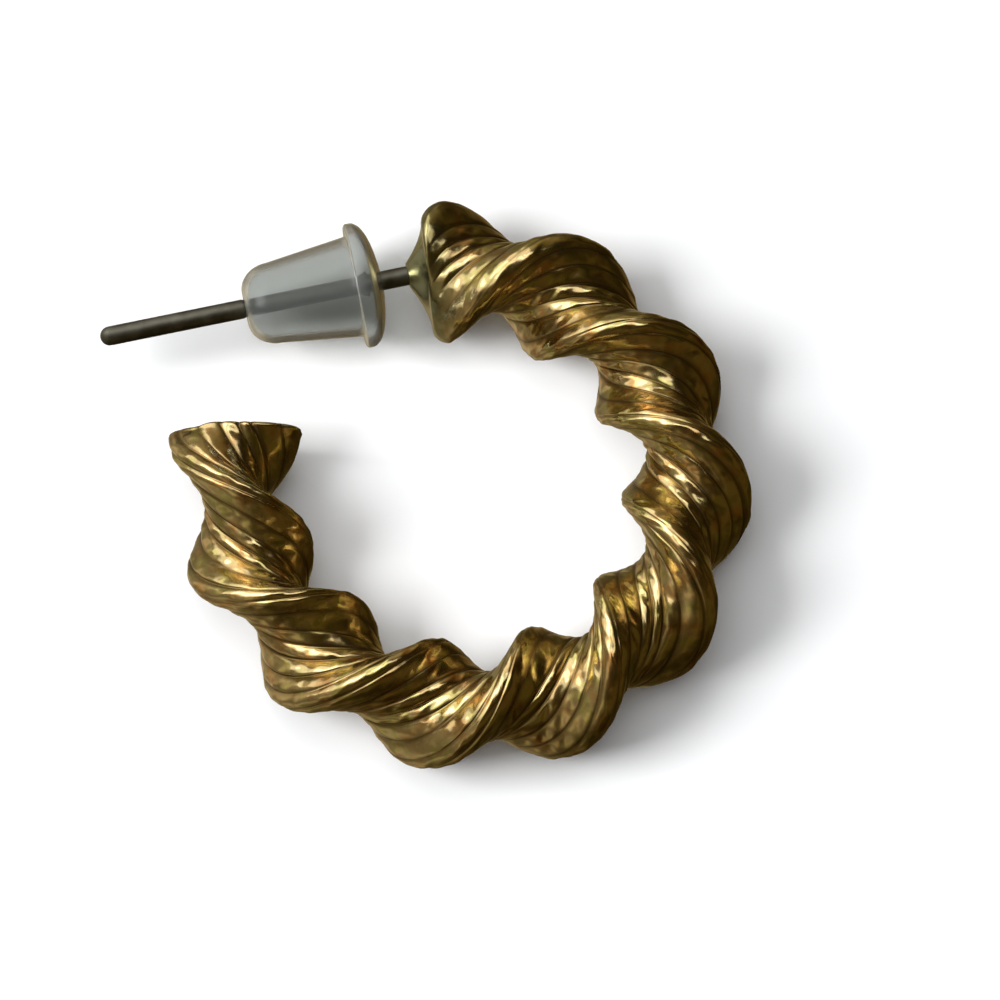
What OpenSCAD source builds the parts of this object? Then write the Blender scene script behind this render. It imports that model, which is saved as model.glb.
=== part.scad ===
// A twisted hoop earring lying on its side. The hoop is a cast bar of oval section, fluted like
// strands of rope and twisted to the left, and its upper end carries a soldered ear post.
// A soft push-on ear nut sits on the post. Millimetres, +Z up, the hoop's axis upright.

/* [Hoop] */
// Radius of the bar's middle line
middle_r = 8.3; // [7.5:0.05:9.5]
// Half the width of the bar's section, from its middle to a ridge
bar_half_w = 2.45; // [2:0.05:2.6]
// Half the thickness of the bar's section
bar_half_t = 1.35; // [1.1:0.05:1.6]
// Fullness of the section: 2 is an ellipse, more is squarer
bar_fullness = 2.3; // [2:0.1:3]
// How far the upper end stands before the first bulge, in half turns
upper_reach = 0.2; // [0.1:0.05:0.3]
// Turn of the lower end's cut away from square, in degrees
lower_cut = 9; // [0:1:15]

/* [Flutes] */
// Number of strands round the section
strands = 12; // [8:2:16]
// Depth of the grooves between the strands
groove_depth = 0.16; // [0.05:0.01:0.2]
// Turn of the strands against the ridges, in degrees
strand_shift = 4; // [0:1:15]

/* [Solder cap and post] */
// Height of the smooth cap of solder on the upper end
cap_h = 0.7; // [0.6:0.05:1.2]
// Part of the bar's section that the rounding of the upper end takes in
cap_round = 0.22; // [0.1:0.01:0.3]
// How far the rounded upper end leans in towards the hoop's middle
cap_lean = 0.2; // [0:0.05:0.3]
// Radius of the cap where it meets the post
cap_top_r = 0.46; // [0.42:0.02:0.6]
// Radius of the post
post_r = 0.36; // [0.35:0.01:0.4]
// Length of the post from the cap to its tip
post_len = 11.7; // [10.5:0.1:13]
// Slope of the post in the hoop's plane, in degrees from the X axis
post_slope = 12; // [9:0.5:15]
// How far outward of the bar's middle the post stands
post_out = 0.05; // [-0.1:0.05:0.3]
// Depth of the notch that the ear nut grips
notch_depth = 0.08; // [0.04:0.01:0.1]
// Length of the notch
notch_len = 0.8; // [0.7:0.05:1]

/* [Ear nut] */
// Distance of the nut's nose from the post's tip
nut_from_tip = 5.5; // [5.2:0.1:5.8]
// Length of the nut
nut_len = 5.2; // [4.8:0.1:5.4]
// Radius of the flat at the nut's nose
nut_nose_r = 0.6; // [0.5:0.05:0.8]
// Radius of the nut's body behind its rounded nose
nut_body_r = 1.52; // [1.3:0.02:1.6]
// Radius of the nut's body at its flange
nut_waist_r = 1.9; // [1.7:0.05:2]
// Radius of the flange
flange_r = 2.35; // [2.1:0.05:2.36]
// Thickness of the flange's rim
rim_t = 0.35; // [0.25:0.05:0.45]
// Height of the dome on the flange's face
dome_h = 0.7; // [0.4:0.05:0.8]
// Running gap between the post and the nut's bore
bore_gap = 0.04; // [0.02:0.01:0.08]

/* [Hidden] */

// A row for each bulge, where both ridges lie in the hoop's plane, going clockwise from the post.
// Columns: direction in degrees from +X, middle line's radius past middle_r, half width past bar_half_w,
// half thickness past bar_half_t
BULGES = [
    [93, 0.2, 0.3, 0.1],
    [60.5, -0.05, 0.1, 0],
    [28.5, -0.15, 0.1, -0.05],
    [-2.5, -0.05, 0.05, 0],
    [-34, 0.1, 0.05, -0.05],
    [-65, 0.05, 0.15, 0],
    [-96, -0.05, 0.05, -0.05],
    [-129, -0.15, 0.1, -0.1],
    [-161, 0, 0.05, -0.15],
    [-193.5, 0.4, 0.1, -0.1]
];
// Rounding of the lower end's rim. Columns: forward of the cut, part of the way in to the middle
LOWER_RIM = [[0.1, 0.04], [0.15, 0.15]];

rings_per_half_turn = 10;
points_per_strand = 3;
cap_rings = 6;
// Power of the curve by which the cap rises from its rim to the post
cap_curve = 1.6;
// Rings of the rounded upper end, as turns along a quarter circle to its rim
END_TURNS = [90, 70, 50, 30, 10];
// Length of the post that the cap and the bar hold
post_root = 0.5;
round_facets = 48;

last = len(BULGES) - 1;
rings = last * rings_per_half_turn;
ring_points = strands * points_per_strand;
// Points on a strand, in parts of its width from its crest: a groove and two shoulders
shoulders = [-0.5, -0.2, 0.2];

// The bulges' rows, carried on straight past both ends
function row(i) = i < 0 ? 2 * BULGES[0] - BULGES[1]
    : i > last ? 2 * BULGES[last] - BULGES[last - 1]
    : BULGES[i];

// A smooth curve through the rows, where t counts half turns of twist from the first bulge
function along(t) =
    let (
        i = min(max(floor(t), 0), last - 1),
        f = t - i,
        a = row(i - 1),
        b = row(i),
        c = row(i + 1),
        d = row(i + 2)
    )
    (2 * b + (c - a) * f + (2 * a - 5 * b + 4 * c - d) * f * f + (3 * b - a - 3 * c + d) * f * f * f) / 2;

// The bar's middle line in the hoop's plane
function middle(t) =
    let (at = along(t))
    (middle_r + at[1]) * [cos(at[0]), sin(at[0])];

function turned(v, angle) = [v.x * cos(angle) - v.y * sin(angle), v.x * sin(angle) + v.y * cos(angle)];

// Unit direction out of the hoop, square to the middle line but for the lower end's cut
function outward(t) =
    let (
        step = 0.02,
        ahead = middle(t + step) - middle(t - step),
        cut = lower_cut * pow(max(t - last + 1, 0), 2)
    )
    turned([-ahead.y, ahead.x] / norm(ahead), cut);

// Directions round the section's middle of all its points, each with its place on its strand
PLACES = [
    for (strand = [0:strands - 1], shoulder = shoulders)
        [(strand + shoulder) * 360 / strands + strand_shift, shoulder]
];

// Point of the section: a full oval's rim, less a groove between strands. The solder fills the grooves
// by the part given
function section(place, filled) =
    let (
        aim = [cos(place[0]), sin(place[0])],
        full = pow(
            pow(abs(aim.x) / bar_half_w, bar_fullness) + pow(abs(aim.y) / bar_half_t, bar_fullness),
            -1 / bar_fullness
        ),
        groove = groove_depth * (1 - cos(180 * place[1])) * (1 - filled)
    )
    aim * (full - groove);

// Ring of the bar, set in space. Twisted to the left, it turns back half a turn for each bulge, and past
// the first bulge the upper end rounds in by a quarter circle towards its rim
function bar_ring(t) =
    let (
        at = along(t),
        twist = -180 * t,
        widen = 1 + at[2] / bar_half_w,
        thicken = 1 + at[3] / bar_half_t,
        past = min(max(-t / upper_reach, 0), 1),
        drawn = 1 - sqrt(1 - past * past),
        small = 1 - cap_round * drawn
    )
    [
        for (place = PLACES)
            let (
                q = section(place, past * past),
                y = q.y * thicken,
                across = (q.x * cos(twist) * widen - y * sin(twist)) * small - cap_lean * drawn,
                flat = middle(t) + outward(t) * across
            )
            [flat.x, flat.y, (q.x * sin(twist) + y * cos(twist)) * small]
    ];

UPPER_RIM = bar_ring(-upper_reach);
LOWER_CUT = bar_ring(last);

// The post's own line: it starts on the upper end's face and slopes down the page, away from the hoop
post_dir = [-cos(post_slope), -sin(post_slope), 0];
root_flat = middle(-upper_reach) + outward(-upper_reach) * post_out;
POST_START = [root_flat.x, root_flat.y, 0];

function mix(a, b, part) = a + (b - a) * part;

// Ring of the solder cap: the rim's outline drawn in towards a small circle round the post as it rises
function cap_ring(part) = [
    for (k = [0:ring_points - 1])
        let (
            turn = PLACES[k][0] + 180 * upper_reach,
            side = [-post_dir.y, post_dir.x, 0] * -cos(turn) + [0, 0, sin(turn)]
        )
        mix(UPPER_RIM[k], POST_START + side * cap_top_r, part) + post_dir * cap_h * pow(part, cap_curve)
];

// Ring of the lower end's rounded rim
function rim_ring(rim) =
    let (
        flat = middle(last),
        out = outward(last),
        ahead = [out.y, -out.x, 0]
    )
    [for (p = LOWER_CUT) mix(p, [flat.x, flat.y, 0], rim[1]) + ahead * rim[0]];

ALL_RINGS = concat(
    [for (i = [cap_rings:-1:1]) cap_ring(i / cap_rings)],
    [for (turn = END_TURNS) bar_ring(-upper_reach * sin(turn))],
    [for (i = [0:rings]) bar_ring(i / rings_per_half_turn)],
    [for (rim = LOWER_RIM) rim_ring(rim)]
);

function centre_of(points) = [for (axis = [0:2]) sum_of([for (p = points) p[axis]]) / len(points)];
function sum_of(values) = [for (v = values) 1] * values;

function ring_faces(i) = [
    for (k = [0:ring_points - 1])
        let (
            a = i * ring_points + k,
            b = i * ring_points + (k + 1) % ring_points
        )
        each [[a, a + ring_points, b + ring_points], [a, b + ring_points, b]]
];

// The move that centres the part's box over its origin, with its lowest ridge at z = 0
BAR_POINTS = [for (ring = ALL_RINGS) each ring];
tip_ball = POST_START + post_dir * (cap_h + post_len - post_r);
low_corner = [for (axis = [0:2]) min([for (p = BAR_POINTS) p[axis]])];
high_corner = [for (axis = [0:2]) max([for (p = BAR_POINTS) p[axis]])];
to_origin = [
    -(min(low_corner.x, tip_ball.x - post_r) + high_corner.x) / 2,
    -(low_corner.y + high_corner.y) / 2,
    -low_corner.z
];

// Sets a body of revolution, drawn upright, along the post with its foot where the post leaves the cap
module on_post() {
    translate(to_origin + POST_START + post_dir * cap_h)
        rotate([0, 0, 180 + post_slope])
            rotate([0, 90, 0])
                rotate_extrude($fn = round_facets)
                    children();
}

module bar() {
    count = len(ALL_RINGS);
    ends = [centre_of(ALL_RINGS[0]), centre_of(ALL_RINGS[count - 1])];
    first_end = len(BAR_POINTS);
    last_ring = (count - 1) * ring_points;
    faces = concat(
        [for (i = [0:count - 2]) each ring_faces(i)],
        [for (k = [0:ring_points - 1]) [first_end, k, (k + 1) % ring_points]],
        [for (k = [0:ring_points - 1]) [first_end + 1, last_ring + (k + 1) % ring_points, last_ring + k]]
    );
    translate(to_origin)
        polyhedron(points = concat(BAR_POINTS, ends), faces = faces, convexity = 8);
}

// The post's outline, as radius and height above the cap: a root inside the cap, a notch and a round tip
module post_outline() {
    past_nose = 0.1;
    notch_end = post_len - nut_from_tip + past_nose;
    notch = [
        for (a = [0:30:180])
            [post_r - notch_depth * sin(a), notch_end - notch_len * (1 - a / 180)]
    ];
    tip = [for (a = [0:15:90]) [post_r * cos(a), post_len - post_r * (1 - sin(a))]];
    polygon(concat([[0, -post_root], [post_r, -post_root]], notch, tip));
}

module hoop_and_post() {
    color("goldenrod")
        bar();
    color("dimgray")
        on_post()
            post_outline();
}

// The nut's outline, as radius and height above the cap. Its nose points to the post's tip
module nut_outline() {
    nose_len = 1.1;
    waist_at = nut_len - dome_h - rim_t;
    rim_at = nut_len - dome_h;
    rim_bevel = 0.07;
    dome_inset = 0.05;
    bore_r = post_r + bore_gap;
    funnel_r = 0.62;
    funnel_len = 0.9;
    nose = [
        for (a = [0:15:90])
            [nut_nose_r + (nut_body_r - nut_nose_r) * sin(a), nose_len * (1 - cos(a))]
    ];
    flange = [
        [nut_waist_r, waist_at],
        [flange_r - rim_bevel, waist_at],
        [flange_r, waist_at + rim_bevel],
        [flange_r, rim_at]
    ];
    dome = [
        for (a = [80:-10:20])
            [(flange_r - dome_inset) * sin(a), rim_at + dome_h * cos(a)]
    ];
    bore = [[funnel_r, nut_len], [bore_r, nut_len - funnel_len], [bore_r, 0]];
    translate([0, post_len - nut_from_tip])
        mirror([0, 1])
            polygon(concat(nose, flange, dome, bore));
}

module ear_nut() {
    color("lightgray", 0.6)
        on_post()
            nut_outline();
}

hoop_and_post();
ear_nut();
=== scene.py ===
# %% [markdown]
# # A twisted hoop earring
# The earring lies on a pale floor: an open hoop of thick twisted bar, a smooth cap of solder that holds a
# straight ear post, and a soft clear ear nut pushed on to the post. The construction comes from the CAD
# model, which is loaded as a fixed frame in metres. This lesson builds the surfaces that the eye sees.

import bpy
import numpy as np
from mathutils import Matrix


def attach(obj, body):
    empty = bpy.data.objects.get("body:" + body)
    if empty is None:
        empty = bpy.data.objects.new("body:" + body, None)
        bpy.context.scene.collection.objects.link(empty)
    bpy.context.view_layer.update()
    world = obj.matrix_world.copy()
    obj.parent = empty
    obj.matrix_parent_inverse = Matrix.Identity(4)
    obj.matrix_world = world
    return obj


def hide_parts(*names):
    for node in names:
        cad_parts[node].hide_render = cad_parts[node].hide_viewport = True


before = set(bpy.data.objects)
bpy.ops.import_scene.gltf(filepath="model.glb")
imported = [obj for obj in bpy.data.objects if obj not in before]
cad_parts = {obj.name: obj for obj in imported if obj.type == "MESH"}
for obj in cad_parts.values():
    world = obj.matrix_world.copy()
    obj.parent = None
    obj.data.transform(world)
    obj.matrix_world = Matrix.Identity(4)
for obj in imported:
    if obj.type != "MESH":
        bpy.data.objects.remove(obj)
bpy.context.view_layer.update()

# %% [markdown]
# ## Sizes
# Every size is written as the maker would say it, in millimetres, and MM turns it into metres once, when the
# points are finished. The hoop's rows follow the bulges that show in the picture: at each one both ridges of
# the flat bar lie in the hoop's own plane, and from one to the next the bar turns half round.

# %% The hoop's sizes
MM = 0.001
PER_MM = 1000
MIDDLE_R = 8.3
HALF_WIDTH = 2.45
HALF_THICK = 1.35
# How full the oval is: 2 would make an ellipse
FULLNESS = 2.3
# The bar runs on past the first bulge by this part of a half turn
UPPER_REACH = 0.2
LOWER_CUT = np.radians(9)
# Over that reach the section shrinks by this part, and shifts this far into the hoop
END_ROUND = 0.22
END_LEAN = 0.2
# A row for each bulge: direction in degrees, then what is added to MIDDLE_R, HALF_WIDTH and HALF_THICK
BULGES = np.array([
    [93, 0.2, 0.3, 0.1],
    [60.5, -0.05, 0.1, 0],
    [28.5, -0.15, 0.1, -0.05],
    [-2.5, -0.05, 0.05, 0],
    [-34, 0.1, 0.05, -0.05],
    [-65, 0.05, 0.15, 0],
    [-96, -0.05, 0.05, -0.05],
    [-129, -0.15, 0.1, -0.1],
    [-161, 0, 0.05, -0.15],
    [-193.5, 0.4, 0.1, -0.1],
])
LAST = len(BULGES) - 1
# The hoop's own centre in the frame, whose origin is under the middle of the whole part
RING_CENTRE = np.array([1.4215, -0.275, 2.4176])
print("bulges:", len(BULGES), "half turns:", LAST + UPPER_REACH)

# %% [markdown]
# ## The hoop's middle line
# A smooth curve has to pass through all the rows. A Catmull-Rom spline does that: between two rows it is a
# cubic whose slope at each row comes from the neighbours on both sides. Written for whole arrays, it gives
# thousands of places along the hoop at once.

# %% The middle line
CARRIED_ON = np.vstack([2 * BULGES[0] - BULGES[1], BULGES, 2 * BULGES[-1] - BULGES[-2]])


def along(t):
    """The row of sizes at t half turns: the cubic through four neighbouring rows."""
    i = np.clip(np.floor(t).astype(int), 0, LAST - 1)
    f = (t - i)[:, None]
    a, b, c, d = (CARRIED_ON[i + k] for k in range(4))
    return (2 * b + (c - a) * f + (2 * a - 5 * b + 4 * c - d) * f**2 + (3 * b - a - 3 * c + d) * f**3) / 2


def middle(t):
    """Middle of the bar in the hoop's plane: the radius laid off in the row's direction."""
    at = along(t)
    angle = np.radians(at[:, 0])
    return (MIDDLE_R + at[:, 1])[:, None] * np.stack([np.cos(angle), np.sin(angle)], -1)


def outward(t):
    """Unit direction out of the hoop: the way ahead turned left, and turned on for the slanted cut."""
    step = 0.02
    ahead = middle(t + step) - middle(t - step)
    ahead /= np.linalg.norm(ahead, axis=1, keepdims=True)
    cut = LOWER_CUT * np.maximum(t - LAST + 1, 0) ** 2
    x, y = -ahead[:, 1], ahead[:, 0]
    return np.stack([x * np.cos(cut) - y * np.sin(cut), x * np.sin(cut) + y * np.cos(cut)], -1)


line = middle(np.linspace(-UPPER_REACH, LAST, 400))
print("length of the bar in mm:", round(float(np.linalg.norm(np.diff(line, axis=0), axis=1).sum()), 1))

# %% [markdown]
# ## The fluted section
# Cut across, the bar is a full oval whose rim is a row of rounded strands, like a rope. The oval is a
# superellipse. Between two grooves the metal follows a parabola, so each crest is round and each groove is
# a sharp line, as on the real bar. A cosine would round the grooves too, and they would shine like the
# crests. Towards the soldered end the strands get shallow on the two ridges, and the solder itself covers
# them. The CAD model has fewer and plainer flutes, inside the same outline.
#
# Cast strands are never quite alike. Slow sine waves make some grooves deeper and let the crests wander, and
# low spots along the crests break a long highlight into the short bright dashes of cast metal.

# %% Uneven heights
# The sine waves of an uneven height: their sizes, their pace along the bar, and their most turns round it
WAVE_SIZES = (1, 1, 0.7, 0.7, 0.5)
WAVE_PACES = (1.2, 3.4)
MOST_TURNS = 3
LUMP_WAVES = 4
STRANDS = 14
# The points across one strand, counted in strand widths from its crest, with more of them at the groove
PLACES = np.array([-0.5, -0.44, -0.34, -0.23, -0.12, 0, 0.12, 0.23, 0.34, 0.44])


def waves(along_bar, round_bar, seed):
    """A slow random height between -1 and 1: a few sine waves over two coordinates, with seeded phases."""
    chance = np.random.default_rng(seed)
    total = 0
    for size in WAVE_SIZES:
        pace = chance.uniform(*WAVE_PACES)
        turns = chance.integers(1, MOST_TURNS + 1)
        phase = chance.uniform(0, 2 * np.pi)
        total = total + size * np.sin(pace * along_bar + turns * round_bar + phase)
    return total / sum(WAVE_SIZES)


def lumps(t, paces, seed):
    """Heights from 0 to 1 along every strand, at all its points: its own mean of four sine waves of t."""
    chance = np.random.default_rng(seed)
    pace = chance.uniform(*paces, (LUMP_WAVES, STRANDS))
    phase = chance.uniform(0, 2 * np.pi, (LUMP_WAVES, STRANDS))
    height = np.sin(t[:, None, None] * pace + phase).sum(1) / LUMP_WAVES
    return np.repeat(np.clip(0.5 + 0.9 * height, 0, 1), len(PLACES), axis=1)


def eased(part):
    """A smooth step: 0 below 0, 1 above 1, and the cubic 3 p^2 - 2 p^3 between them."""
    part = np.clip(part, 0, 1)
    return part**2 * (3 - 2 * part)


print("points round the section:", STRANDS * len(PLACES), "and a step eased at a quarter:", eased(0.25))

# %% The section's points
GROOVE = 0.15
# The part of the groove's depth that is left on the ridges, at the soldered end and at the lower end
AT_RIDGE = (0.35, 0.9)
# The crests lie this much under the CAD surface, so that no lump of the finish stands out of it
CREST_DROP = 0.04
SOLDER_TO = 0.12
# How far the crests wander and how much all grooves vary: size, pace along the bar and seed
WANDER, WANDER_PACE, WANDER_SEED = np.radians(4), 2.3, 5
VARY, VARY_PACE, VARY_SEED = 0.45, 3.1, 3
# The low spots on the crests: depth, slowest and fastest pace, and seed
LUMP, LUMP_PACES, LUMP_SEED = 0.06, (25, 60), 11
# Each groove's own depth: least part, what its waves add, slowest and fastest pace, and seed
OWN_LEAST, OWN_MORE, OWN_PACES, OWN_SEED = 0.45, 0.9, (1, 5), 13


def oval(s):
    """The superellipse's radius in direction s: |x / width|^n + |y / thickness|^n = 1, solved for it."""
    side, top = np.abs(np.cos(s) / HALF_WIDTH), np.abs(np.sin(s) / HALF_THICK)
    return (side**FULLNESS + top**FULLNESS) ** (-1 / FULLNESS)


def past_upper(t):
    """How far a ring is past the first bulge: 0 on the bulge, 1 where the cap begins."""
    return np.clip(-t / UPPER_REACH, 0, 1)[:, None]


def near_solder(t):
    """Where solder covers the upper end: 1 where the cap begins, falling smoothly to 0 at SOLDER_TO."""
    return eased((SOLDER_TO - t) / (SOLDER_TO + UPPER_REACH))


def section(s, shoulder, t):
    """Points in direction s: the oval, less a depth that grows with the square of the way to the groove."""
    s = s + WANDER * waves(WANDER_PACE * t[:, None], s, WANDER_SEED) * (1 - past_upper(t) ** 2)
    vary = 1 + VARY * waves(VARY_PACE * t[:, None], s, VARY_SEED)
    at_ridge = np.interp(t, [0, LAST], AT_RIDGE)[:, None]
    depth = GROOVE * vary * (at_ridge + (1 - at_ridge) * np.sin(s) ** 2) * (2 * shoulder) ** 2
    depth = depth * (OWN_LEAST + OWN_MORE * lumps(t, OWN_PACES, OWN_SEED))
    low = LUMP * lumps(t, LUMP_PACES, LUMP_SEED) * np.cos(np.pi * shoulder) ** 2
    radius = oval(s) - CREST_DROP - (depth + low) * (1 - near_solder(t)[:, None])
    return np.stack([np.cos(s), np.sin(s)], -1) * radius[..., None]


print("plain oval in mm, on a ridge and on a flat face:", np.round(oval(np.array([0, np.pi / 2])), 2))

# %% [markdown]
# ## The section's place in space
# Each section is turned with the twist and laid across the middle line. Past the first bulge it is drawn in
# along a quarter of an ellipse, so that the upper end is round, and it leans into the hoop a little. The
# lower end isn't cut quite flat: its inner part runs a little further than its outer corner.

# %% Set the section in space
END_STEP = 0.17
# The step grows over this last part of a half turn
STEP_REACH = 0.3
# It falls off towards the outer corner: from where, and over how much, in parts of the half width
CORNER_FROM, CORNER_OVER = 0.35, 0.35


def set_in_space(t, q):
    """Turns the section with the twist, rounds in the upper end, and lays it across the middle line."""
    at = along(t)
    twist = -np.pi * t[:, None]
    drawn = 1 - np.sqrt(1 - past_upper(t) ** 2)
    small = 1 - END_ROUND * drawn
    x = q[..., 0]
    y = q[..., 1] * (1 + at[:, 3, None] / HALF_THICK)
    widen = 1 + at[:, 2, None] / HALF_WIDTH
    across = (x * np.cos(twist) * widen - y * np.sin(twist)) * small - END_LEAN * drawn
    up = (x * np.sin(twist) + y * np.cos(twist)) * small
    out = outward(t)
    ahead = np.stack([out[:, 1], -out[:, 0]], -1)
    inner = 1 - eased((across / HALF_WIDTH - CORNER_FROM) / CORNER_OVER)
    step = END_STEP * inner * eased((t - LAST + STEP_REACH) / STEP_REACH)[:, None]
    flat = middle(t)[:, None, :] + out[:, None, :] * across[..., None] + ahead[:, None, :] * step[..., None]
    return np.concatenate([flat, up[..., None]], -1)


first_ridge = set_in_space(np.array([0.0]), np.array([[[HALF_WIDTH, 0.0]]]))[0, 0]
print("outer ridge of the first bulge in mm from the hoop's centre:", np.round(first_ridge, 2))

# %% [markdown]
# ## From arrays to a mesh
# Blender takes a mesh as flat lists of numbers. A grid of rings becomes a tube when each ring is joined to
# the next with quads, and a fan of triangles to a single point closes an end. A tube that has no ends, like
# a ring doughnut, joins its last ring back to the first. foreach_set hands the arrays over in one go, which
# is far quicker than adding points one at a time.

# %% The mesh helpers


def piece(name, points, quads, fans):
    """A smooth mesh object in metres at the origin, from points in millimetres round the hoop's centre."""
    mesh = bpy.data.meshes.new(name)
    mesh.vertices.add(len(points))
    mesh.vertices.foreach_set("co", ((points + RING_CENTRE) * MM).astype(np.float32).ravel())
    mesh.loops.add(quads.size + fans.size)
    corners = np.concatenate([quads.ravel(), fans.ravel()])
    mesh.loops.foreach_set("vertex_index", corners.astype(np.int32))
    mesh.polygons.add(len(quads) + len(fans))
    starts = np.concatenate([4 * np.arange(len(quads)), quads.size + 3 * np.arange(len(fans))])
    mesh.polygons.foreach_set("loop_start", starts.astype(np.int32))
    mesh.polygons.foreach_set("use_smooth", np.ones(len(starts), bool))
    mesh.update(calc_edges=True)
    made = bpy.data.objects.new(name, mesh)
    bpy.context.scene.collection.objects.link(made)
    triangles = 2 * len(quads) + len(fans)
    print(name, "triangles:", triangles, "size in mm:", np.round(np.ptp(points, axis=0), 2))
    return made


def skin_quads(rows, count, size):
    """Quads from each of the rows to the next one, in a grid of count rings with size points each."""
    row, place = np.meshgrid(rows, np.arange(size), indexing="ij")
    beside = (place + 1) % size
    above = (row + 1) % count
    quads = [row * size + place, above * size + place, above * size + beside, row * size + beside]
    return np.stack(quads, -1).reshape(-1, 4)


def tube(name, rings, first=None, last=None):
    """A tube through rings[row, place]: quads between neighbouring rings, and fans that close its ends."""
    count, size = rings.shape[:2]
    points = [rings.reshape(-1, 3)]
    fans = [np.zeros((0, 3), int)]
    place = np.arange(size)
    after = (place + 1) % size
    total = count * size
    if first is not None:
        points.append(first[None, :])
        fans.append(np.stack([np.full(size, total), place, after], -1))
        total += 1
    if last is not None:
        points.append(last[None, :])
        start = (count - 1) * size
        fans.append(np.stack([np.full(size, total), start + after, start + place], -1))
    quads = skin_quads(np.arange(count - 1), count, size)
    return piece(name, np.concatenate(points), quads, np.concatenate(fans))


def ring_loop(name, rings):
    """A tube with no ends: its last ring joins its first.

    Its outside runs against the post's direction, so the quads are turned over to face outwards.
    """
    count, size = rings.shape[:2]
    turned_over = skin_quads(np.arange(count), count, size)[:, [0, 3, 2, 1]]
    return piece(name, rings.reshape(-1, 3), turned_over, np.zeros((0, 3), int))


def note(made, name, values):
    """Stores a number or a triple for every point of a piece, for its material to read."""
    kind = "FLOAT" if values.ndim == 1 else "FLOAT_VECTOR"
    layer = made.data.attributes.new(name, kind, "POINT")
    layer.data.foreach_set("value" if values.ndim == 1 else "vector", values.astype(np.float32).ravel())


print("quads between 3 rings of 4 points:", len(skin_quads(np.arange(2), 3, 4)))

# %% [markdown]
# ## Where the strands stand
# The strands are narrow on the flat faces and wide on the ridges. To place them, the length of the rim is
# summed up once round, and every crest gets its share of that length: an even share, plus a sine that widens
# the strands on the ridges, plus a small shift of its own from a seeded random number.

# %% Place the strands
RIM_STEPS = 2000
# How much wider a strand is on a ridge, and how far it may stand from its even place, in strand widths
WIDE_RIDGE = 0.3
UNEVEN, UNEVEN_SEED = 0.18, 17
# Where the first crest stands, in strand widths from the ridge
FIRST_CREST = 0.2
shoulders = np.tile(PLACES, STRANDS)
count_on = (np.repeat(np.arange(STRANDS), len(PLACES)) + shoulders + FIRST_CREST) % STRANDS
shift = np.random.default_rng(UNEVEN_SEED).uniform(-UNEVEN, UNEVEN, STRANDS)
crests = np.arange(STRANDS + 1)
share = np.interp(count_on, crests, crests + np.append(shift, shift[0])) / STRANDS

even = np.linspace(0, 1, RIM_STEPS + 1)
widened = even + WIDE_RIDGE * np.sin(4 * np.pi * even) / (4 * np.pi)
round_turn = 2 * np.pi * even
rim_line = oval(round_turn)[:, None] * np.stack([np.cos(round_turn), np.sin(round_turn)], -1)
way_round = np.append(0, np.linalg.norm(np.diff(rim_line, axis=0), axis=1).cumsum())
directions = np.interp(np.interp(share % 1, even, widened), way_round / way_round[-1], round_turn)
print("mean distance between strands in mm:", round(float(way_round[-1]) / STRANDS, 2))

# %% [markdown]
# ## The hoop's bar
# The bar is one grid: along it run the rings, round it the points of the section. The lower end is cut nearly
# square with its edge rounded off, so a few more rings turn over the edge and draw in to the middle of the
# cut, where a fan of triangles closes it. The upper end stays open until the solder cap meets it.

# %% Build the hoop's bar
END_RINGS = 16
LONG_RINGS = 680
end_turn = np.linspace(np.pi / 2, 0, END_RINGS, endpoint=False)
half_turns = np.concatenate([-UPPER_REACH * np.sin(end_turn), np.linspace(0, LAST, LONG_RINGS)])
bar = set_in_space(half_turns, section(directions[None, :], shoulders[None, :], half_turns))

RIM_LENGTH = 0.15
RIM_INSET = 0.15
RIM_RINGS = 6
FACE_RINGS = 3
lower = np.array([float(LAST)])
cut_out = outward(lower)[0]
cut_ahead = np.array([cut_out[1], -cut_out[0], 0])
cut_middle = np.append(middle(lower)[0], 0) + cut_ahead * END_STEP
face_middle = cut_middle + cut_ahead * RIM_LENGTH
turn = np.linspace(0, np.pi / 2, RIM_RINGS + 1)[1:, None, None]
inset = (cut_middle - bar[-1]) * RIM_INSET
rim = bar[-1] + inset * (1 - np.cos(turn)) + cut_ahead * RIM_LENGTH * np.sin(turn)
part = np.arange(1, FACE_RINGS + 1)[:, None, None] / (FACE_RINGS + 1)
face = rim[-1] + (face_middle - rim[-1]) * part
rings = np.concatenate([bar, rim, face])
hoop_bar = tube("hoop_bar", rings, last=face_middle)

# %% [markdown]
# ## What the bar's points remember
# The finish has to follow the strands, so every point keeps three notes for it: how near a groove it lies,
# how much solder covers it, and where it is on its strand's own way. The cut's face has no grooves.

# %% Leave notes for the finish
# Powers of the grooves' painted shade and brown film: it keeps close to the groove, and it hardly thins out
# before the very ridge
GROOVE_POWER = 3
RIDGE_POWER = 0.3
near_groove = np.abs(2 * shoulders) ** GROOVE_POWER * np.abs(np.sin(directions)) ** RIDGE_POWER
near_groove = np.tile(near_groove, (len(rings), 1))
near_groove[:len(bar)] *= 1 - near_solder(half_turns)[:, None]
near_groove[len(bar) + RIM_RINGS // 2:] = 0
note(hoop_bar, "groove", np.append(near_groove.ravel(), 0))
covered = np.append(near_solder(half_turns), np.zeros(len(rings) - len(bar)))
note(hoop_bar, "solder", np.append(np.repeat(covered, rings.shape[1]), 0))
way = np.cumsum(np.append(0, np.linalg.norm(np.diff(rings.mean(1), axis=0), axis=1)))[:, None]
flow = np.stack(np.broadcast_arrays(way, np.cos(directions), np.sin(directions)), -1).reshape(-1, 3)
note(hoop_bar, "flow", np.vstack([flow, flow[-1]]))
print("notes on the bar:", len(flow), "points, way along it in mm:", round(float(way[-1, 0]), 1))

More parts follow.
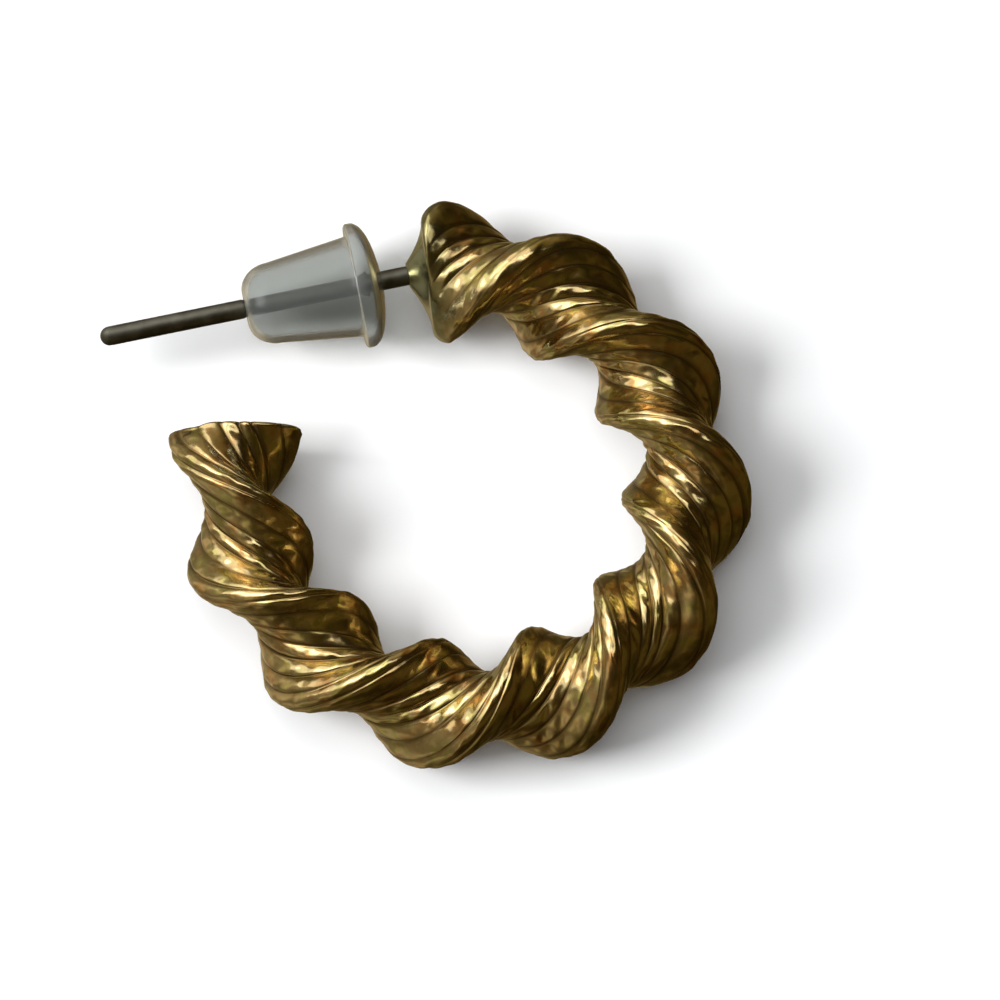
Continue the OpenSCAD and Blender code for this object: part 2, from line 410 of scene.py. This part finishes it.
# %% [markdown]
# ## The solder cap
# The upper end is closed by a smooth cap that rises like a trumpet to the post. It starts on the bar's
# uppermost ring, and each further ring is drawn in towards a small circle round the post, while it climbs
# along the post's direction. It has no strands, because solder runs smooth.

# %% Build the solder cap
CAP_H = 0.7
CAP_TOP_R = 0.46
CAP_CURVE = 1.6
CAP_RINGS = 36
POST_SLOPE = np.radians(12)
POST_OUT = 0.05
post_dir = np.array([-np.cos(POST_SLOPE), -np.sin(POST_SLOPE), 0])
post_side = np.array([-post_dir[1], post_dir[0], 0])
UP = np.array([0, 0, 1.0])
upper = np.array([-UPPER_REACH])
post_start = np.append(middle(upper)[0] + outward(upper)[0] * POST_OUT, 0)

flat_section = section(directions[None, :], shoulders[None, :], upper)[0]
turn = np.arctan2(flat_section[:, 1], flat_section[:, 0])[:, None] + np.pi * UPPER_REACH
top_ring = post_start + (post_side * -np.cos(turn) + UP * np.sin(turn)) * CAP_TOP_R
part = np.linspace(0, 1, CAP_RINGS)[:, None, None]
cap = bar[0] + (top_ring - bar[0]) * part + post_dir * CAP_H * part**CAP_CURVE
cap_top = post_start + post_dir * CAP_H
solder_cap = tube("solder_cap", cap[::-1], first=cap_top)

# %% [markdown]
# ## Turned pieces
# The post and the ear nut are both round about the post's line, so each is a profile of radii and heights
# carried round it: a point is the top of the cap, plus the height along the post, plus the radius in a
# direction that goes once round.

# %% The turning helper


def carried_round(profile, steps):
    """Rings of points: each (radius, height) row goes once round the post's line, from the cap's top."""
    angle = np.linspace(0, 2 * np.pi, steps, endpoint=False)
    ring = post_side * np.cos(angle)[:, None] + UP * np.sin(angle)[:, None]
    return cap_top + post_dir * profile[:, 1, None, None] + ring * profile[:, 0, None, None]


circle = carried_round(np.array([[1.0, 0.0]]), 64)[0]
print("height of a circle of radius 1:", round(float(np.ptp(circle[:, 2])), 2))

# %% [markdown]
# ## The ear post
# The post is drawn wire with a ball-shaped tip. A shallow notch lies under the nut's nose, where the soft nut
# grips, so it hardly shows. The wire starts a little inside the cap, and nothing gapes where they meet.

# %% Build the ear post
POST_R = 0.36
POST_LEN = 11.7
POST_ROOT = -0.4
POST_STEPS = 64
NUT_FROM_TIP = 5.5
NOTCH_DEPTH = 0.08
NOTCH_LEN = 0.8
NOTCH_PAST_NOSE = 0.1
SHAFT_RINGS, NOTCH_RINGS, TIP_RINGS = 40, 13, 11
nose_at = POST_LEN - NUT_FROM_TIP
notch_end = nose_at + NOTCH_PAST_NOSE
shaft_at = np.linspace(POST_ROOT, notch_end - NOTCH_LEN, SHAFT_RINGS, endpoint=False)
a = np.linspace(0, np.pi, NOTCH_RINGS)
notch = np.stack([POST_R - NOTCH_DEPTH * np.sin(a), notch_end - NOTCH_LEN * (1 - a / np.pi)], -1)
free_at = np.linspace(notch_end, POST_LEN - POST_R, SHAFT_RINGS + 2)[1:-1]
shaft, free = (np.stack([np.full(SHAFT_RINGS, POST_R), at], -1) for at in (shaft_at, free_at))
a = np.linspace(0, np.pi / 2, TIP_RINGS, endpoint=False)
tip = np.stack([POST_R * np.cos(a), POST_LEN - POST_R + POST_R * np.sin(a)], -1)
wire = carried_round(np.vstack([shaft, notch, free, tip]), POST_STEPS)
ear_post = tube("ear_post", wire, first=cap_top + post_dir * POST_ROOT, last=cap_top + post_dir * POST_LEN)

# %% [markdown]
# ## The ear nut
# The nut is a bullet of clear silicone: a rounded nose towards the post's tip, a body that widens to the
# other end, and a thin flange with a domed face. Its bore is a closed inner wall, because clear material
# shows both sides of its skin. The profile runs over the outside, across the face and back through the bore.

# %% Build the ear nut
NUT_LEN = 5.2
NUT_STEPS = 128
NOSE_R, NOSE_LEN = 0.6, 1.1
NOSE_MOUTH_R = 0.45
BODY_R, WAIST_R = 1.52, 1.9
FLANGE_R, RIM_T, DOME_H = 2.35, 0.35, 0.7
# The dome is the part of an ellipse between two angles off its top, from the rim to the funnel, in degrees
DOME_R, DOME_FROM, DOME_TO = 2.3, 78, 20
BORE_GAP = 0.04
BORE_R = POST_R + BORE_GAP
# The bore's own rings begin this far from the funnel's foot and end this far from the nose
BORE_BEGIN, BORE_END = 0.1, 0.02
FUNNEL_R, FUNNEL_LEN = 0.62, 0.9
# Roundings, as steps of radius and height from the corner that they soften
FLANGE_FOOT = np.array([[0.04, 0.02]])
LOW_CORNER = np.array([[-0.1, 0.02], [-0.03, 0.06], [0, 0.12]])
HIGH_CORNER = np.array([[0, -0.05], [-0.02, 0.03]])
FUNNEL_EDGE = np.array([[0.06, -0.02], [0, -0.1]])
FUNNEL_FOOT = np.array([[0.05, 0]])
NOSE_RINGS, BODY_RINGS, DOME_RINGS, BORE_RINGS = 16, 13, 18, 12
waist_at = NUT_LEN - DOME_H - RIM_T
rim_at = NUT_LEN - DOME_H
funnel_foot_at = NUT_LEN - FUNNEL_LEN
a = np.linspace(0, np.pi / 2, NOSE_RINGS)
nose = np.stack([NOSE_R + (BODY_R - NOSE_R) * np.sin(a), NOSE_LEN * (1 - np.cos(a))], -1)
body = np.linspace((BODY_R, NOSE_LEN), (WAIST_R, waist_at), BODY_RINGS + 1)[1:]
a = np.radians(np.linspace(DOME_FROM, DOME_TO, DOME_RINGS))
dome = np.stack([DOME_R * np.sin(a), rim_at + DOME_H * np.cos(a)], -1)
bore = np.linspace((BORE_R, funnel_foot_at - BORE_BEGIN), (BORE_R, BORE_END), BORE_RINGS)
outline = np.vstack([
    [[NOSE_MOUTH_R, 0]],
    nose,
    body,
    FLANGE_FOOT + (WAIST_R, waist_at),
    LOW_CORNER + (FLANGE_R, waist_at),
    HIGH_CORNER + (FLANGE_R, rim_at),
    dome,
    FUNNEL_EDGE + (FUNNEL_R, NUT_LEN),
    FUNNEL_FOOT + (BORE_R, funnel_foot_at),
    bore,
])
outline[:, 1] = nose_at - outline[:, 1]
clear_nut = ring_loop("clear_nut", carried_round(outline, NUT_STEPS))
# 1 on the thin flange, where the silicone is painted lighter as painted light shining through it
thin = np.clip((outline[:, 0] - WAIST_R) / (FLANGE_R - WAIST_R), 0, 1)
note(clear_nut, "thin", np.repeat(thin, NUT_STEPS))

# %% [markdown]
# ## Material sums in Python
# A finish is a tree of shader nodes. To keep it readable, a small class wraps an output socket, and Python's
# own signs add the Math nodes. Any other node comes from one method, which takes its settings and its inputs.

# %% The wire class


class Wire:
    """An output socket that sums can be done with, such as 1 - mask, or a bare tree to add nodes to."""

    def __init__(self, tree, socket=None):
        self.tree = tree
        self.socket = socket

    def add(self, kind, settings=None, inputs=None, output=0):
        """Adds a node: first its settings, then a value or a wire for each named or numbered input."""
        node = self.tree.nodes.new("ShaderNode" + kind)
        for name, value in (settings or {}).items():
            if name == "stops":
                ramp = node.color_ramp.elements
                while len(ramp) < len(value):
                    ramp.new(0.5)
                for element, (place, colour) in zip(ramp, value):
                    element.position = place
                    element.color = (*colour, 1)
            else:
                setattr(node, name, value)
        for name, value in (inputs or {}).items():
            into = self.pick(node.inputs, name)
            if isinstance(value, Wire):
                self.tree.links.new(value.socket, into)
            else:
                into.default_value = value
        return Wire(self.tree, self.pick(node.outputs, output))

    @staticmethod
    def pick(sockets, name):
        """The socket with a number, or the first enabled one with a name."""
        if isinstance(name, int):
            return sockets[name]
        return next(socket for socket in sockets if socket.name == name and socket.enabled)

    def maths(self, operation, a, b):
        """A Math node on two values, either of which may be a plain number."""
        return self.add("Math", {"operation": operation}, {0: a, 1: b})

    def __add__(self, other):
        return self.maths("ADD", self, other)

    def __radd__(self, other):
        return self.maths("ADD", other, self)

    def __sub__(self, other):
        return self.maths("SUBTRACT", self, other)

    def __rsub__(self, other):
        return self.maths("SUBTRACT", other, self)

    def __mul__(self, other):
        return self.maths("MULTIPLY", self, other)

    def __rmul__(self, other):
        return self.maths("MULTIPLY", other, self)


def finish(name, constants):
    """A new material: its bare tree to build on, and its shader, whose constant sockets are already set."""
    made = bpy.data.materials.new(name)
    made.use_nodes = True
    shader = made.node_tree.nodes["Principled BSDF"]
    for socket, value in constants.items():
        shader.inputs[socket].default_value = value
    return made, Wire(made.node_tree), shader


def feed(tree, shader, **wires):
    """Links wires to the shader's sockets: base_color goes to Base Color, and so on."""
    for name, wire in wires.items():
        tree.tree.links.new(wire.socket, shader.inputs[name.replace("_", " ").title()])


def blend(tree, part, a, b, mode="MIX"):
    """Mixes two colours by a part from 0 to 1."""
    settings = {"data_type": "RGBA", "blend_type": mode}
    return tree.add("Mix", settings, {"Factor": part, "A": a, "B": b}, "Result")


def noise(tree, place, scale, detail, roughness=0.5):
    """Noise from 0 to 1, with about scale lumps to one unit of the place."""
    inputs = {"Vector": place, "Scale": scale, "Detail": detail, "Roughness": roughness}
    return tree.add("TexNoise", None, inputs, "Fac")


def rise(tree, value, low, high, most):
    """0 where the value is under low, most where it is over high, and a straight rise between them."""
    inputs = {"Value": value, "From Min": low, "From Max": high, "To Max": most}
    return tree.add("MapRange", {"clamp": True}, inputs, "Result")


def ramp(tree, part, *stops):
    """Colours along a part from 0 to 1: each stop is its place and its colour."""
    return tree.add("ValToRGB", {"stops": stops}, {"Fac": part}, "Color")


# %% [markdown]
# ## Gold plate
# The plate is thin and a little worn. Its colour leans to green in some patches and to orange in others, and
# small dull spots of brown lie over it. The grooves are painted dark brown: partly a brown film, since polish
# reaches the crests and misses the grooves, and partly painted shade that darkens the gaps between the
# strands and hides the mirror light the grooves would catch. The dark paint's edge is ragged along the
# strands, so its noise is stretched on the strands' own way. Soft dents, a fraction of a millimetre wide,
# break the reflections up as on cast metal.
# Where solder covers the bar, the plate's colour passes over into the solder's.

# %% Make the gold finish
# Dark brown painted into the grooves: partly a brown film, partly painted shade between the strands
GROOVE_SHADE_AND_FILM = (0.17, 0.105, 0.03, 1)
DULL = (0.22, 0.14, 0.04, 1)
DARK_SOLDER, LIGHT_SOLDER = (0.22, 0.19, 0.08), (0.5, 0.45, 0.23)
gold, nodes, shader = finish("gold_plate", {"Metallic": 1.0, "IOR": 1.5})
place = nodes.add("TexCoord", None, None, "Object")
groove = nodes.add("Attribute", {"attribute_name": "groove"}, None, "Fac")
flow = nodes.add("Attribute", {"attribute_name": "flow"}, None, "Vector")
soldered = nodes.add("Attribute", {"attribute_name": "solder"}, None, "Fac")
patches = noise(nodes, place, 1.1 * PER_MM, 2.0, 0.6)
streaks = noise(nodes, nodes.add("Mapping", None, {"Vector": flow, "Scale": (0.9, 5.0, 5.0)}), 1.6, 3.0)
tint = ramp(
    nodes,
    patches,
    (0.32, (0.7, 0.42, 0.17)),
    (0.42, (0.7, 0.52, 0.25)),
    (0.52, (0.73, 0.58, 0.3)),
    (0.62, (0.66, 0.59, 0.22)),
    (0.7, (0.71, 0.54, 0.25)),
)
# The grooves' dark brown: painted shade that also hides their mirror highlights, partly a brown film
groove_shade_and_film = rise(nodes, groove + 0.3 * (streaks - 0.5), 0.08, 0.75, 0.85)
dull = rise(nodes, noise(nodes, place, 1.5 * PER_MM, 2.0, 0.6), 0.52, 0.74, 0.45)
plate = blend(nodes, dull, blend(nodes, groove_shade_and_film, tint, GROOVE_SHADE_AND_FILM), DULL)
plate = blend(nodes, soldered, plate, blend(nodes, patches, (*DARK_SOLDER, 1), (*LIGHT_SOLDER, 1)))
dents = noise(nodes, place, 2 * PER_MM, 1.0)
bumps = nodes.add("Bump", None, {"Height": dents, "Strength": 0.7, "Distance": 0.04 * MM}, "Normal")
gloss = 0.14 + 0.06 * streaks + 0.15 * groove_shade_and_film + 0.1 * dull
feed(nodes, shader, base_color=plate, roughness=gloss, normal=bumps)
hoop_bar.data.materials.append(gold)
print("nodes in the gold finish:", len(gold.node_tree.nodes))

# %% [markdown]
# ## Solder
# Solder is duller and greener than the plate, in broad cloudy patches, and its skin is slightly wavy. The
# same noise drives the colour, the roughness and the waves, because they come from the same flow of metal.

# %% Make the solder finish
solder, nodes, shader = finish("gold_solder", {"Metallic": 1.0, "IOR": 1.5})
place = nodes.add("TexCoord", None, None, "Object")
clouds = noise(nodes, place, 0.42 * PER_MM, 3.0)
tint = ramp(nodes, clouds, (0.35, DARK_SOLDER), (0.6, LIGHT_SOLDER))
bumps = nodes.add("Bump", None, {"Height": clouds, "Strength": 0.4, "Distance": 0.1 * MM}, "Normal")
feed(nodes, shader, base_color=tint, roughness=0.16 + 0.14 * clouds, normal=bumps)
solder_cap.data.materials.append(solder)
print("nodes in the solder finish:", len(solder.node_tree.nodes))

# %% [markdown]
# ## Post steel and silicone
# The post is dark steel wire, dulled by wear, with a faint grain in its colour and its gloss. The nut is
# cloudy silicone with a grey tint, painted lighter where the flange is thin: painted light for the light that
# shines through and scatters in the thin silicone. Part of the light passes through it and bends, and part is
# scattered, so the shader's transmission is below one and its surface is rough.

# %% Make the steel and the silicone
steel, nodes, shader = finish("post_steel", {"Metallic": 1.0, "IOR": 1.5})
place = nodes.add("TexCoord", None, None, "Object")
grain = noise(nodes, place, 0.9 * PER_MM, 4.0)
tint = ramp(nodes, grain, (0.35, (0.1, 0.095, 0.075)), (0.65, (0.2, 0.195, 0.165)))
feed(nodes, shader, base_color=tint, roughness=0.4 + 0.2 * grain)
ear_post.data.materials.append(steel)

# The lighter milk is painted light: the thin flange is painted lighter for the light that shines through it
DARK_MILK, MILK_LIT_THROUGH = (0.33, 0.345, 0.325, 1), (0.38, 0.395, 0.375, 1)
silicone, nodes, shader = finish("clear_silicone", {"Transmission Weight": 0.85, "IOR": 1.2})
place = nodes.add("TexCoord", None, None, "Object")
thin = nodes.add("Attribute", {"attribute_name": "thin"}, None, "Fac")
cloud = noise(nodes, place, 0.5 * PER_MM, 2.0)
# Painted light: the thin flange gets the lighter milk, with random cloudiness over both
milk = blend(nodes, thin + 0.3 * (cloud - 0.5), DARK_MILK, MILK_LIT_THROUGH)
feed(nodes, shader, base_color=milk, roughness=0.18 + 0.12 * cloud)
clear_nut.data.materials.append(silicone)
print("finishes:", [made.name for made in (gold, solder, steel, silicone)])

# %% [markdown]
# ## Fit the pieces to the frame
# The bar, the cap and the post are one soldered solid in the CAD model and all ride on its body. The nut
# slides on the post, so it rides on its own body.

# %% Tell the frame
for made, body, node, slot in (
    (hoop_bar, "earring", "hoop_and_post", "gold_metal"),
    (solder_cap, "earring", "hoop_and_post", "gold_metal"),
    (ear_post, "earring", "hoop_and_post", "post_steel"),
    (clear_nut, "nut", "ear_nut", "clear_silicone"),
):
    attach(made, body)
    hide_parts(node)
    print(made.name, "rides on", body, "and stands for", node)

# %% [markdown]
# ## The floor
# The floor is a wide white sheet, a hundred times as wide as the earring, so its edge never shows. In the
# photograph the metal mirrors a darker table than the white that shows round it, so the sheet is hidden from
# mirror rays, and they see a dim brown room instead.

# %% Build the floor
FLOOR_SIDE = 3.0
corners = np.array([[-1, -1, 0], [1, -1, 0], [1, 1, 0], [-1, 1, 0]]) * FLOOR_SIDE / 2
floor_mesh = bpy.data.meshes.new("floor")
floor_mesh.from_pydata(corners.tolist(), [], [(0, 1, 2, 3)])
floor = bpy.data.objects.new("floor", floor_mesh)
bpy.context.scene.collection.objects.link(floor)
floor.visible_glossy = False
MATT_WHITE = {"Base Color": (0.9, 0.9, 0.9, 1), "Roughness": 0.9, "Specular IOR Level": 0.1}
paper = finish("white_paper", MATT_WHITE)[0]
floor.data.materials.append(paper)
print("floor in metres:", FLOOR_SIDE, "by", FLOOR_SIDE)

# %% [markdown]
# ## Lamps
# Metal and floor need different lamps. The metal mirrors a tall window at the upper left with a bright core
# and a small glow on the ceiling, and these send no light to the floor. The floor is lit by a soft key from
# the left, which throws the shadows to the right, and by a wide fill from above, which opens them. Neither
# of the two shows in the metal.

# %% Hang the lamps


def look_angles(away):
    """Euler angles of a lamp or camera whose back points along away, with +Y of the picture up."""
    flat = np.hypot(away[0], away[1])
    return (float(np.arctan2(flat, away[2])), 0.0, float(np.arctan2(away[0], -away[1])))


def softbox(name, azimuth, elevation, distance, width, height, power, colour=(1, 1, 1)):
    """A lamp in a direction in degrees from +X towards +Y, facing the earring: metres, watts, colour."""
    turned_by, raised_by = np.radians([azimuth, elevation])
    level = np.cos(raised_by)
    way = np.array([np.cos(turned_by) * level, np.sin(turned_by) * level, np.sin(raised_by)])
    data = bpy.data.lights.new(name, "AREA")
    data.shape = "RECTANGLE"
    data.size, data.size_y = width, height
    data.energy = power
    data.color = colour
    lamp = bpy.data.objects.new(name, data)
    bpy.context.scene.collection.objects.link(lamp)
    lamp.location = way * distance
    lamp.rotation_euler = look_angles(way)
    lamp.visible_camera = False
    return lamp


mirrored = (
    softbox("window", 133, 46, 0.9, 1.0, 1.2, 3.7, (1.0, 0.99, 0.97)),
    softbox("window_core", 137, 50, 0.85, 0.45, 0.4, 1.2),
    softbox("ceiling", 60, 68, 0.9, 0.5, 0.4, 0.8, (1.0, 0.98, 0.94)),
)
for lamp in mirrored:
    lamp.visible_diffuse = False
lighting = (
    softbox("soft_key", 188, 42, 1.0, 0.5, 0.5, 11.0, (0.985, 0.993, 1.0)),
    softbox("soft_fill", 160, 78, 1.2, 1.6, 1.6, 13.5, (0.98, 0.99, 1.0)),
)
for lamp in lighting:
    lamp.visible_glossy = False
print("lamps:", [lamp.name for lamp in mirrored + lighting])

# %% [markdown]
# ## The room in the metal
# The world stands for the room that the metal mirrors. It is brown, brighter on the window's side, and a slow
# noise stands for the things in it. It gives the matt sheet no light, so the shadows there stay neutral.

# %% Build the room
BRIGHT_SIDE = np.radians(165)
world = bpy.data.worlds.new("dim_room")
bpy.context.scene.world = world
world.use_nodes = True
world.cycles_visibility.diffuse = False
room = Wire(world.node_tree)
direction = room.add("TexCoord", None, None, "Generated")
east, north = (room.add("SeparateXYZ", None, {"Vector": direction}, axis) for axis in "XY")
toward_window = east * float(np.cos(BRIGHT_SIDE)) + north * float(np.sin(BRIGHT_SIDE))
walls = ramp(
    room,
    toward_window * 0.5 + 0.5,
    (0.25, (0.043, 0.03, 0.008)),
    (0.45, (0.095, 0.069, 0.028)),
    (0.6, (0.19, 0.158, 0.095)),
    (0.8, (0.34, 0.3, 0.22)),
)
shade = ramp(
    room,
    noise(room, direction, 1.5, 1.0),
    (0.36, (0.5, 0.47, 0.4)),
    (0.5, (0.9, 0.9, 0.85)),
    (0.62, (1.7, 1.65, 1.6)),
)
background = world.node_tree.nodes["Background"]
world.node_tree.links.new(blend(room, 1.0, walls, shade, "MULTIPLY").socket, background.inputs["Color"])
print("nodes in the room:", len(world.node_tree.nodes))

# %% [markdown]
# ## The camera
# The camera looks down at the earring from 74 degrees, close to straight above. Its lens follows from the
# distance and from how many pixels a millimetre takes in a picture of 1000 pixels. The standard view
# transform keeps the white floor white.

# %% Set the camera
CAMERA_ELEVATION = np.radians(74)
CAMERA_DISTANCE = 270 * MM
PICTURE_PIXELS = 1000
PIXELS_PER_MM = 27
SENSOR = 36
TARGET = np.array([2.7615, -0.595, 2.2]) * MM
back = np.array([0, -np.cos(CAMERA_ELEVATION), np.sin(CAMERA_ELEVATION)])
camera_data = bpy.data.cameras.new("camera")
camera_data.sensor_width = SENSOR
camera_data.lens = SENSOR * CAMERA_DISTANCE / MM * PIXELS_PER_MM / PICTURE_PIXELS
camera_data.clip_start = 0.01
camera_data.clip_end = 10
camera = bpy.data.objects.new("camera", camera_data)
bpy.context.scene.collection.objects.link(camera)
camera.location = TARGET + back * CAMERA_DISTANCE
camera.rotation_euler = look_angles(back)
bpy.context.scene.camera = camera
bpy.context.scene.view_settings.view_transform = "Standard"
print("lens in mm:", round(camera_data.lens, 1))
